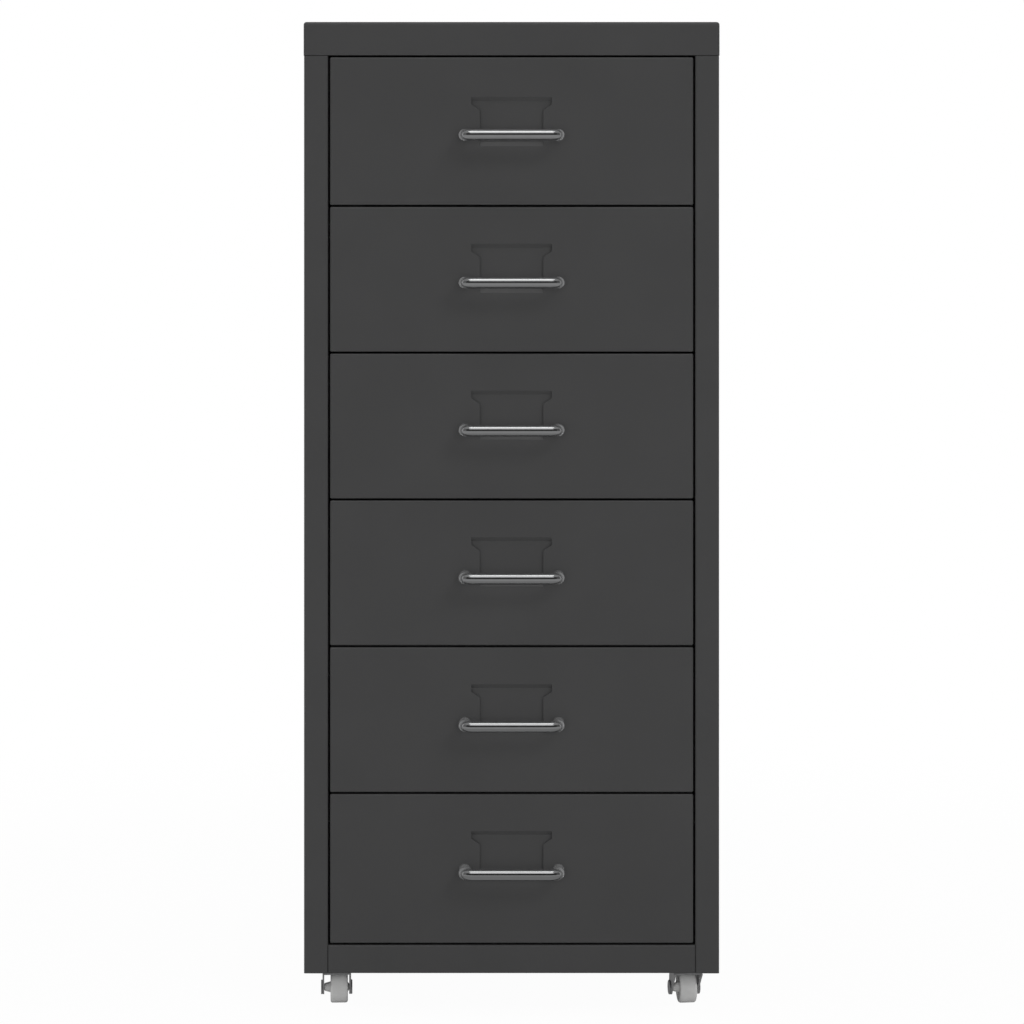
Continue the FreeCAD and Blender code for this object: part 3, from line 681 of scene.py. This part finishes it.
@dataclass
class WireHandle:
    """Bow of drawn wire with two legs, which stands on a drawer's front."""

    number: int
    wire: float = 8.0 * MM
    bend: float = 6.0 * MM
    spacing: float = 64.0 * MM
    bend_steps: int = 14
    sides: int = 48
    crease: float = 50.0

    def path(self) -> list[tuple[Vector, Vector]]:
        """Middle line of the wire, from left to right.

        Returns:
            Each point of the line, with the wire's direction there.
        """
        low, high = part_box(f"handle_{self.number}")
        level = (low.z + high.z) / 2
        half = self.spacing / 2
        bar = low.y + self.wire / 2
        turns = [math.radians(90 * step / self.bend_steps) for step in range(self.bend_steps + 1)]
        path: list[tuple[Vector, Vector]] = []
        for side in Side:
            out = side.value
            run = [(Vector((out * half, high.y, level)), FORWARDS)]
            for t in turns:
                across = out * (half - self.bend * (1 - math.cos(t)))
                along = bar + self.bend * (1 - math.sin(t))
                way = Vector((-out * math.sin(t), -math.cos(t), 0.0))
                run.append((Vector((across, along, level)), way))
            if side is Side.RIGHT:
                run = [(point, -way) for point, way in reversed(run)]
            path += run
        return path

    def build(self, finishes: Finishes) -> None:
        """Bend the wire, plate it and hang it on its drawer.

        Args:
            finishes: The cabinet's finishes.
        """
        shape = bmesh.new()
        rings: list[Ring] = []
        turns = [2 * math.pi * step / self.sides for step in range(self.sides)]
        for point, way in self.path():
            across = way.cross(UP)
            rings.append([
                shape.verts.new(
                    point + (across * math.cos(t) + UP * math.sin(t)) * (self.wire / 2)
                )
                for t in turns
            ])
        for low, high in zip(rings, rings[1:]):
            for step in range(self.sides):
                after = (step + 1) % self.sides
                shape.faces.new((low[step], low[after], high[after], high[step]))
        shape.faces.new(rings[0])
        shape.faces.new(rings[-1])
        bmesh.ops.recalc_face_normals(shape, faces=shape.faces)
        piece = as_piece(shape, f"wire_handle_{self.number}", self.crease)
        # The lamps still cast its shadow, but it takes no soft light from the front behind it.
        piece.visible_diffuse = False
        finishes.dress_piece(piece, Slot.CHROMED_WIRE)
        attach(piece, f"drawer_{self.number}")
        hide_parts(f"handle_{self.number}")


@dataclass
class Drawer:
    """One drawer: its folded front and tray, its handle and the handle's two screws."""

    number: int
    skin: float = 0.6 * MM
    head_radius: float = 3.75 * MM
    head_height: float = 2.4 * MM
    shank_radius: float = 2.0 * MM
    grip: float = 7.0 * MM

    def build(self, frame: dict, finishes: Finishes) -> None:
        """Paint the drawer, and make its handle and screws.

        Args:
            frame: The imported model.
            finishes: The cabinet's finishes.
        """
        for part in ("drawer_front", "drawer_tray"):
            finishes.dress_node(frame["nodes"][f"{part}_{self.number}"], Slot.PAINTED_SHEET)
        handle = WireHandle(self.number)
        handle.build(finishes)
        self.fix_handle(handle, finishes)

    def fix_handle(self, handle: WireHandle, finishes: Finishes) -> None:
        """Drive the two screws into the handle's legs from inside the drawer.

        Args:
            handle: The drawer's handle.
            finishes: The cabinet's finishes.
        """
        low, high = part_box(f"handle_{self.number}")
        level = (low.z + high.z) / 2
        half = handle.spacing / 2
        inner = high.y + self.skin
        screw = RecessedScrew(
            self.head_radius, self.head_height, self.shank_radius, self.skin + self.grip
        )
        seats = [seat(side.value * half, inner, level, BACKWARDS) for side in Side]
        piece = screw.set_in(f"handle_fixings_{self.number}", seats)
        finishes.dress_piece(piece, Slot.ZINC_SCREW)
        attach(piece, f"drawer_{self.number}")
        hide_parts(f"handle_screws_{self.number}")


@dataclass
class Carcass:
    """Painted shell with its runners, and the screws that hold its panels."""

    sheets: tuple[str, ...] = (
        "top_cover",
        "base_pan",
        "back_panel",
        "side_panel_left",
        "side_panel_right",
    )
    head_radius: float = 3.5 * MM
    head_height: float = 1.4 * MM
    shank_radius: float = 1.75 * MM
    shank_length: float = 8.0 * MM
    flange_across: float = 134.2 * MM
    flange_heights: tuple[float, ...] = (67.9 * MM, 257.27 * MM, 446.63 * MM, 636.0 * MM)
    edge_across: tuple[float, ...] = (-93.8 * MM, 0.0, 93.8 * MM)
    cover_height: float = 663.7 * MM
    base_height: float = 38.8 * MM
    flange_seat: float = 204.7 * MM
    cover_seat: float = 205.0 * MM
    base_seat: float = 204.0 * MM

    def build(self, frame: dict, finishes: Finishes) -> None:
        """Paint the shell and its runners, and drive the panel screws.

        Args:
            frame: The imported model.
            finishes: The cabinet's finishes.
        """
        for name in self.sheets:
            finishes.dress_node(frame["nodes"][name], Slot.PAINTED_SHEET)
        for side in Side:
            for number in range(1, DRAWER_COUNT + 1):
                runner = frame["nodes"][f"runner_{side.name.lower()}_{number}"]
                finishes.dress_node(runner, Slot.PAINTED_SHEET)
        self.fix_panels(finishes)

    def fix_panels(self, finishes: Finishes) -> None:
        """Drive the screws of the rear flanges, the cover and the base pan.

        Args:
            finishes: The cabinet's finishes.
        """
        seats = [
            seat(side.value * self.flange_across, self.flange_seat, height, BACKWARDS)
            for side in Side
            for height in self.flange_heights
        ]
        for across in self.edge_across:
            seats.append(seat(across, self.cover_seat, self.cover_height, BACKWARDS))
            seats.append(seat(across, self.base_seat, self.base_height, BACKWARDS))
        screw = RecessedScrew(
            self.head_radius, self.head_height, self.shank_radius, self.shank_length
        )
        piece = screw.set_in("panel_fixings", seats)
        finishes.dress_piece(piece, Slot.ZINC_SCREW)
        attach(piece, "carcass")
        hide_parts("panel_screws")


@dataclass
class Caster:
    """Swivel caster: plate, fork, riveted axle and moulded wheel.

    The parting line's groove and brow are shares of its height, and the rivet's rounding is a
    share of its own. The dimple has three corners, each a share of the rivet's radius and a
    depth. Steps are the chords of a round corner.
    """

    corner: Corner
    wheel_radius: float = 10.8 * MM
    hub_half: float = 8.5 * MM
    tread_low: float = -4.3 * MM
    tread_high: float = 7.7 * MM
    edge_radius: float = 1.6 * MM
    edge_steps: int = 10
    rim: float = 2.2 * MM
    rim_bevel: Point = (0.2 * MM, 0.12 * MM)
    dish: float = 0.8 * MM
    hub_root: float = 3.85 * MM
    hub_tip: float = 2.65 * MM
    hub_bevel: float = 0.25 * MM
    fillet_start: float = 168.0
    fillet_steps: int = 4
    bore: float = 2.08 * MM
    parting_height: float = 0.07 * MM
    parting_groove: float = 0.6
    parting_brow: float = 2.2
    wheel_sides: int = 96
    axle_radius: float = 2.0 * MM
    axle_half: float = 9.85 * MM
    rivet_radius: float = 5.0 * MM
    rivet_height: float = 1.0 * MM
    rivet_rounding: float = 0.45
    rivet_steps: tuple[int, int] = (4, 6)
    dimple: tuple[Point, ...] = ((0.34, 0.0), (0.24, 0.3 * MM), (0.0, 0.35 * MM))
    axle_sides: int = 48

    def spin_axis(self, frame: dict) -> Matrix:
        """Place of the wheel's middle, with Z along its axle.

        Args:
            frame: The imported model.

        Returns:
            The place as a matrix.
        """
        roll = joint_named(frame, f"roll_{self.corner.value}")
        along = Vector(roll["axis"])
        turn = along.to_track_quat("Z", "Y").to_matrix().to_4x4()
        return Matrix.Translation(roll["pos_m"]) @ turn

    def wheel_outline(self) -> list[Point]:
        """Half section of the wheel: hub, dished web, rim and tread with its parting line.

        Returns:
            Radius and height of each corner, closed.
        """
        tread = self.wheel_radius
        rim = tread - self.rim
        out, down = self.rim_bevel
        edge = self.edge_radius
        steps = self.edge_steps
        ease = self.hub_bevel
        fillet = 2 * ease
        line = self.parting_height
        brow = self.parting_brow * line
        groove = tread - self.parting_groove * line
        middle = (self.tread_low + self.tread_high) / 2
        root_low = self.tread_low + self.dish
        root_high = self.tread_high - self.dish
        points: list[Point] = [
            (self.bore, -self.hub_half),
            (self.hub_tip - ease, -self.hub_half),
            (self.hub_tip, -self.hub_half + ease),
            (self.hub_root, root_low - 1.6 * ease),
        ]
        hollow = (self.hub_root + fillet, root_low - fillet)
        points += arc(hollow, fillet, self.fillet_start, 90, self.fillet_steps)
        points += [
            (rim - 0.5 * self.dish, root_low),
            (rim, self.tread_low + down),
            (rim + out, self.tread_low),
        ]
        points += arc((tread - edge, self.tread_low + edge), edge, -90, 0, steps)
        points += [
            (tread, middle - brow),
            (tread, middle - line),
            (groove, middle - 0.5 * line),
            (groove, middle + 0.5 * line),
            (tread, middle + line),
            (tread, middle + brow),
        ]
        points += arc((tread - edge, self.tread_high - edge), edge, 0, 90, steps)
        points += [
            (rim + out, self.tread_high),
            (rim, self.tread_high - down),
            (rim - 0.5 * self.dish, root_high),
            (self.hub_root + ease, root_high),
            (self.hub_root, root_high + ease),
            (self.hub_tip, self.hub_half - ease),
            (self.hub_tip - ease, self.hub_half),
            (self.bore, self.hub_half),
            (self.bore, -self.hub_half),
        ]
        return points

    def axle_outline(self) -> list[Point]:
        """Half section of the axle with its two spun heads.

        Returns:
            Radius and height of each corner, from the middle of one head to that of the other.
        """
        top = self.axle_half + self.rivet_height
        soft = self.rivet_rounding * self.rivet_height
        inner, outer = self.rivet_steps
        upper = [(self.axle_radius, self.axle_half)]
        upper += arc((self.rivet_radius - soft, self.axle_half + soft), soft, -90, 0, inner)
        upper += arc((self.rivet_radius - soft, top - soft), soft, 0, 90, outer)
        upper += [(share * self.rivet_radius, top - depth) for share, depth in self.dimple]
        lower = [(radius, -height) for radius, height in reversed(upper)]
        return lower + upper

    def build(self, frame: dict, finishes: Finishes) -> None:
        """Plate the caster's sheets, and make its axle and wheel.

        Args:
            frame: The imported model.
            finishes: The cabinet's finishes.
        """
        corner = self.corner.value
        for part in ("caster_plate", "caster_fork"):
            finishes.dress_node(frame["nodes"][f"{part}_{corner}"], Slot.CASTER_METAL)
        place = self.spin_axis(frame)
        tyre = turned(self.wheel_outline(), self.wheel_sides)
        wheel = as_piece(tyre, f"moulded_wheel_{corner}")
        wheel.data.transform(place)
        finishes.dress_piece(wheel, Slot.WHEEL_PLASTIC)
        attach(wheel, f"wheel_{corner}")
        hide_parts(f"caster_wheel_{corner}")
        pin = turned(self.axle_outline(), self.axle_sides)
        axle = as_piece(pin, f"riveted_axle_{corner}")
        axle.data.transform(place)
        finishes.dress_piece(axle, Slot.CASTER_METAL)
        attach(axle, f"fork_{corner}")
        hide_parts(f"caster_axle_{corner}")


@dataclass
class CasterMounts:
    """Kingpins and plate screws of all four casters."""

    hole_half: float = 14.0 * MM
    head_radius: float = 3.5 * MM
    head_height: float = 1.8 * MM
    shank_radius: float = 2.0 * MM
    shank_length: float = 6.0 * MM

    def build(self, frame: dict, finishes: Finishes) -> None:
        """Plate the kingpins and drive the plate screws.

        Args:
            frame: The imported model.
            finishes: The cabinet's finishes.
        """
        finishes.dress_node(frame["nodes"]["caster_kingpins"], Slot.ZINC_SCREW)
        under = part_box("caster_screws")[0].z + self.head_height
        seats: list[Matrix] = []
        for corner in Corner:
            across, along, _ = joint_named(frame, f"swivel_{corner.value}")["pos_m"]
            seats += [
                seat(across + i * self.hole_half, along + j * self.hole_half, under, DOWNWARDS)
                for i in (-1, 1)
                for j in (-1, 1)
            ]
        screw = RecessedScrew(
            self.head_radius, self.head_height, self.shank_radius, self.shank_length
        )
        piece = screw.set_in("caster_fixings", seats)
        finishes.dress_piece(piece, Slot.ZINC_SCREW)
        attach(piece, "carcass")
        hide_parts("caster_screws")


# Room and camera


@dataclass(frozen=True)
class BentCard:
    """Glowing card bent round the cabinet like a piece of a dome, in degrees from its middle.

    A turn of 0 is the camera's side, and 90 the cabinet's right. Only reflections see it: its glow
    is a painted reflection.
    """

    name: str
    turn_from: float
    turn_to: float
    rise_from: float
    rise_to: float
    grey: float
    radius: float = 5.0
    middle: float = 0.4
    step: float = 3.0

    def shape(self) -> Shape:
        """Bend the card.

        Returns:
            The bent card's shape.
        """
        across = max(1, round((self.turn_to - self.turn_from) / self.step))
        along = max(1, round((self.rise_to - self.rise_from) / self.step))
        turns = [
            math.radians(self.turn_from + (self.turn_to - self.turn_from) * j / across)
            for j in range(across + 1)
        ]
        card = bmesh.new()
        rows: list[Ring] = []
        for i in range(along + 1):
            rise = math.radians(self.rise_from + (self.rise_to - self.rise_from) * i / along)
            flat = self.radius * math.cos(rise)
            height = self.middle + self.radius * math.sin(rise)
            rows.append(
                [card.verts.new((flat * math.sin(t), -flat * math.cos(t), height)) for t in turns]
            )
        for low, high in zip(rows, rows[1:]):
            for j in range(across):
                card.faces.new((low[j], low[j + 1], high[j + 1], high[j]))
        bmesh.ops.recalc_face_normals(card, faces=card.faces)
        return card


@dataclass(frozen=True)
class FloorReflectionRing:
    """Glowing grey ring just above the floor round the cabinet, seen only in reflections: a painted
    reflection of the floor.
    """

    name: str
    inner: float
    outer: float
    grey: float
    height: float = 0.1 * MM
    sides: int = 96

    def shape(self) -> Shape:
        """Make the ring and return its shape."""
        return turned([(self.inner, self.height), (self.outer, self.height)], self.sides)


@dataclass(frozen=True)
class SoftLamp:
    """Soft box that faces the cabinet, and whether reflections show it."""

    name: str
    place: Triple
    size: Point
    power: float
    mirrored: bool
    aim: Triple = (0.0, -0.1, 0.35)

    def hang(self) -> None:
        """Hang the lamp up and turn it to the cabinet."""
        lamp = bpy.data.lights.new(self.name, "AREA")
        lamp.shape = "RECTANGLE"
        lamp.size, lamp.size_y = self.size
        lamp.energy = self.power
        holder = bpy.data.objects.new(self.name, lamp)
        holder.location = self.place
        way = Vector(self.aim) - holder.location
        holder.rotation_euler = way.to_track_quat("-Z", "Y").to_euler()
        holder.visible_camera = False
        holder.visible_glossy = self.mirrored
        bpy.context.scene.collection.objects.link(holder)


def background_share(tree: bpy.types.NodeTree) -> Socket:
    """Tell rays from the camera, a reflection or glass from all others.

    Args:
        tree: The nodes that it is added to.

    Returns:
        1 for those rays, and 0 for all others.
    """
    rays = tree.nodes.new("ShaderNodeLightPath")
    total = rays.outputs["Is Camera Ray"]
    for kind in ("Is Glossy Ray", "Is Transmission Ray"):
        either = tree.nodes.new("ShaderNodeMath")
        either.operation = "MAXIMUM"
        tree.links.new(total, either.inputs[0])
        tree.links.new(rays.outputs[kind], either.inputs[1])
        total = either.outputs["Value"]
    return total


@dataclass
class Studio:
    """Pale floor, white surroundings, soft lamps, glowing cards that paint the reflections, and the
    camera.
    """

    floor_radius: float = 8.0
    floor_sides: int = 96
    floor_drop: float = 0.2 * MM
    floor_colour: Triple = (0.92, 0.92, 0.92)
    floor_drift: float = 0.004
    floor_cloud: Cloud = Cloud(0.4)
    floor_roughness: float = 0.9
    floor_white: float = 0.97
    shadow_reach: Point = (0.45, 1.3)
    room_level: float = 0.40
    lamps: tuple[SoftLamp, ...] = (
        SoftLamp("key_lamp", (3.4, -5.2, 4.6), (2.4, 1.8), 92.0, False),
        SoftLamp("front_lamp", (0.0, -3.4, 0.55), (2.4, 1.0), 41.0, False, (0.0, -0.18, 0.35)),
        SoftLamp("rear_lamp", (0.0, 3.6, 0.7), (2.4, 1.0), 30.0, False, (0.0, 0.2, 0.35)),
        SoftLamp("left_lamp", (-3.0, 0.1, 0.7), (0.5, 2.4), 30.0, False),
        SoftLamp("right_lamp", (3.0, 0.1, 0.7), (0.5, 2.4), 26.0, False),
        SoftLamp("top_strip", (0.0, -0.75, 1.9), (1.6, 0.2), 2.2, True, (0.0, -0.18, 0.5)),
    )
    # Glowing cards and rings seen only in reflections: painted reflections, dark on the camera's
    # side.
    cards: tuple[BentCard | FloorReflectionRing, ...] = (
        BentCard("dark_front_card", -55.0, 55.0, -6.0, 31.0, 0.04),
        BentCard("left_front_card", -85.0, -55.0, -6.0, 31.0, 0.16),
        BentCard("left_card", -115.0, -85.0, -6.0, 31.0, 0.42),
        BentCard("right_front_card", 55.0, 85.0, -6.0, 31.0, 0.11),
        BentCard("right_card", 85.0, 115.0, -6.0, 31.0, 0.36),
        BentCard("rear_card", 115.0, 245.0, -6.0, 31.0, 0.30),
        BentCard("high_card", 32.0, 328.0, 31.0, 66.0, 0.30),
        BentCard("roof_card", 0.0, 360.0, 66.0, 90.0, 0.24),
        FloorReflectionRing("floor_reflection_ring_0", 0.0, 0.5, 0.24),
        FloorReflectionRing("floor_reflection_ring_1", 0.5, 5.0, 0.33),
    )
    lens: float = 125.7
    sensor: float = 36.0
    eye: Triple = (0.0, -2.621, 0.5229)
    shift: Point = (0.0004, -0.256)

    def fill_room(self) -> None:
        """Surround the cabinet with plain grey light that shows as white."""
        world = bpy.data.worlds.new("white_room")
        world.use_nodes = True
        tree = world.node_tree
        tree.nodes.clear()
        output = tree.nodes.new("ShaderNodeOutputWorld")
        mixing = tree.nodes.new("ShaderNodeMixShader")
        for place, strength in ((1, self.room_level), (2, 1.0)):
            light = tree.nodes.new("ShaderNodeBackground")
            light.inputs["Color"].default_value = WHITE
            light.inputs["Strength"].default_value = strength
            tree.links.new(light.outputs["Background"], mixing.inputs[place])
        tree.links.new(background_share(tree), mixing.inputs["Fac"])
        tree.links.new(mixing.outputs["Shader"], output.inputs["Surface"])
        bpy.context.scene.world = world

    def lay_floor(self) -> None:
        """Lay a pale floor that keeps the cabinet's shadow."""
        shape = bmesh.new()
        bmesh.ops.create_circle(
            shape, cap_ends=True, segments=self.floor_sides, radius=self.floor_radius
        )
        floor = as_piece(shape, "pale_floor")
        floor.location.z = -self.floor_drop
        board = ShaderBoard("pale_floor")
        board.shade(self.floor_cloud, self.floor_colour, self.floor_drift)
        board.shader.inputs["Roughness"].default_value = self.floor_roughness
        board.shader.inputs["Specular IOR Level"].default_value = 0.0
        glow = board.nodes.new("ShaderNodeEmission")
        glow.inputs["Color"].default_value = WHITE
        distance = board.nodes.new("ShaderNodeVectorMath")
        distance.operation = "LENGTH"
        board.links.new(board.place, distance.inputs[0])
        fading = board.ranged(
            distance.outputs["Value"], self.shadow_reach, (self.floor_white, 1.0), "SMOOTHSTEP"
        )
        seen = board.nodes.new("ShaderNodeMath")
        seen.operation = "MULTIPLY"
        board.links.new(background_share(board.material.node_tree), seen.inputs[0])
        board.links.new(fading, seen.inputs[1])
        mixing = board.nodes.new("ShaderNodeMixShader")
        board.links.new(seen.outputs["Value"], mixing.inputs["Fac"])
        board.links.new(board.shader.outputs["BSDF"], mixing.inputs[1])
        board.links.new(glow.outputs["Emission"], mixing.inputs[2])
        board.links.new(mixing.outputs["Shader"], board.output.inputs["Surface"])
        floor.data.materials.append(board.material)

    def stand_card(self, plan: BentCard | FloorReflectionRing) -> None:
        """Stand a glowing card or ring where only reflections find it: a painted reflection.

        Args:
            plan: The card's name, shape and grey.
        """
        card = as_piece(plan.shape(), plan.name)
        board = ShaderBoard(plan.name)
        board.shader.inputs["Base Color"].default_value = BLACK
        board.shader.inputs["Specular IOR Level"].default_value = 0.0
        # The grey is a glow that only reflections see: painted reflection, it lights nothing.
        board.shader.inputs["Emission Color"].default_value = (plan.grey, plan.grey, plan.grey, 1.0)
        board.shader.inputs["Emission Strength"].default_value = 1.0
        card.data.materials.append(board.material)
        card.visible_camera = False
        card.visible_diffuse = False
        card.visible_shadow = False
        card.visible_transmission = False
        card.visible_volume_scatter = False

    def place_camera(self) -> None:
        """Stand the camera level, in front and a little above the middle."""
        eye = bpy.data.cameras.new("front_view")
        eye.lens = self.lens
        eye.sensor_width = self.sensor
        eye.shift_x, eye.shift_y = self.shift
        stand = bpy.data.objects.new("front_view", eye)
        stand.location = self.eye
        stand.rotation_euler = (math.pi / 2, 0.0, 0.0)
        bpy.context.scene.collection.objects.link(stand)
        bpy.context.scene.camera = stand

    def build(self) -> None:
        """Set the room, the cards, the lamps and the camera up."""
        self.fill_room()
        self.lay_floor()
        for plan in self.cards:
            self.stand_card(plan)
        for lamp in self.lamps:
            lamp.hang()
        self.place_camera()
        bpy.context.scene.view_settings.view_transform = "Standard"


def main() -> None:
    """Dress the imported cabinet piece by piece, and set the room up round it."""
    logging.basicConfig(level=logging.INFO, format="%(name)s: %(message)s")
    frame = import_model()
    finishes = Finishes()
    Carcass().build(frame, finishes)
    log.info("carcass painted, panel screws driven")
    for number in range(1, DRAWER_COUNT + 1):
        Drawer(number).build(frame, finishes)
        log.info("drawer %d painted, handle fixed", number)
    CasterMounts().build(frame, finishes)
    log.info("kingpins plated, plate screws driven")
    for corner in Corner:
        Caster(corner).build(frame, finishes)
        log.info("caster %s assembled", corner.value)
    Studio().build()


if __name__ == "__main__":
    main()
